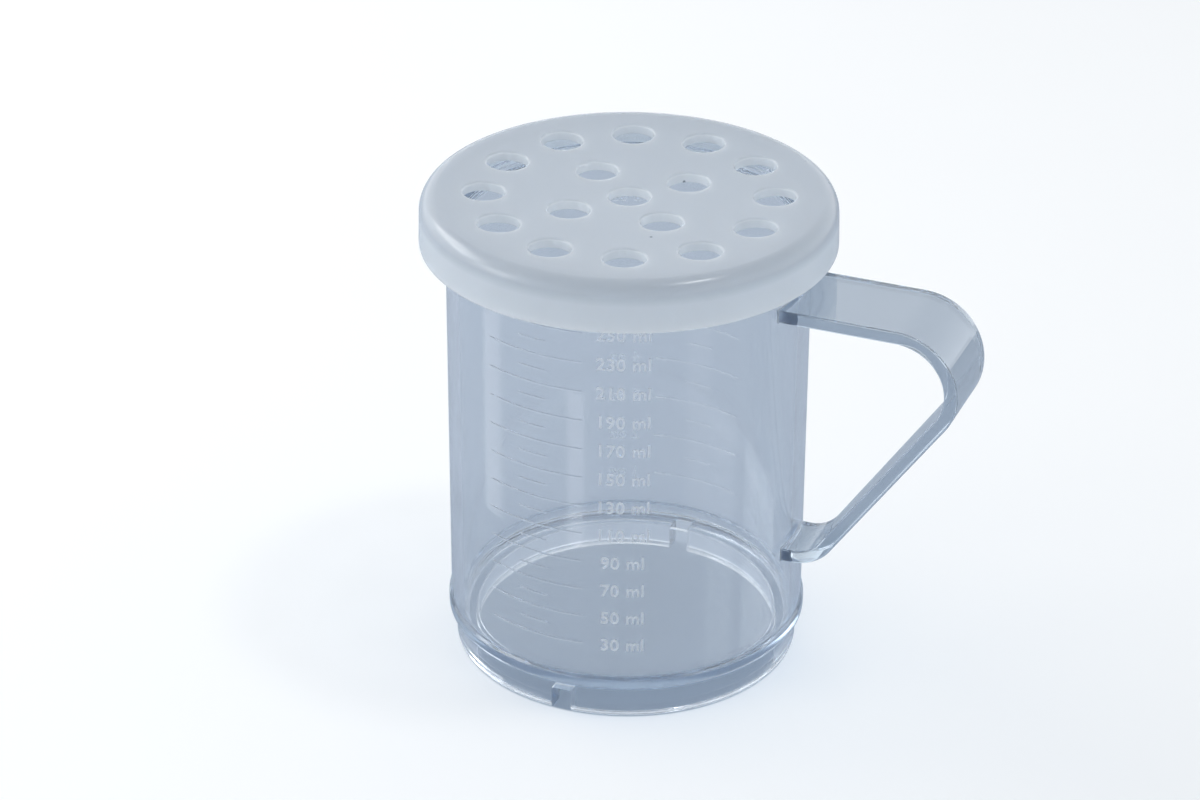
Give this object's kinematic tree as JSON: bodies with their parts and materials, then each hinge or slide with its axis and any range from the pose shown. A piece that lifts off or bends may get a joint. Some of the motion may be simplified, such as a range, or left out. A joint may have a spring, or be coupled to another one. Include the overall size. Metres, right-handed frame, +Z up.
{
  "type": "handled spice shaker",
  "caption": "Clear handled shaker cup with moulded volume scales, and a translucent press-on lid with round dispensing holes that lifts off for filling.",
  "frame": {"origin": "centre of the foot ring, on the cup's axis, in the plane it stands on", "axes": "+Z up along the cup's axis, +X towards the handle, -Y the millilitre scale, +Y the fluid-ounce scale"},
  "size_m": [0.1084, 0.0798, 0.0958],
  "materials": {
    "clear_cup": "clear blue-grey polycarbonate, moulded gloss",
    "translucent_lid": "translucent natural polyethylene, soft satin"
  },
  "bodies": {
    "cup": {"cup": "clear_cup"},
    "lid": {"lid": "translucent_lid"}
  },
  "joints": [
    {"name": "lid_lift", "type": "slide", "parent": "cup", "child": "lid", "axis": [0, 0, 1], "range_m": [0, 0.04]}
  ]
}
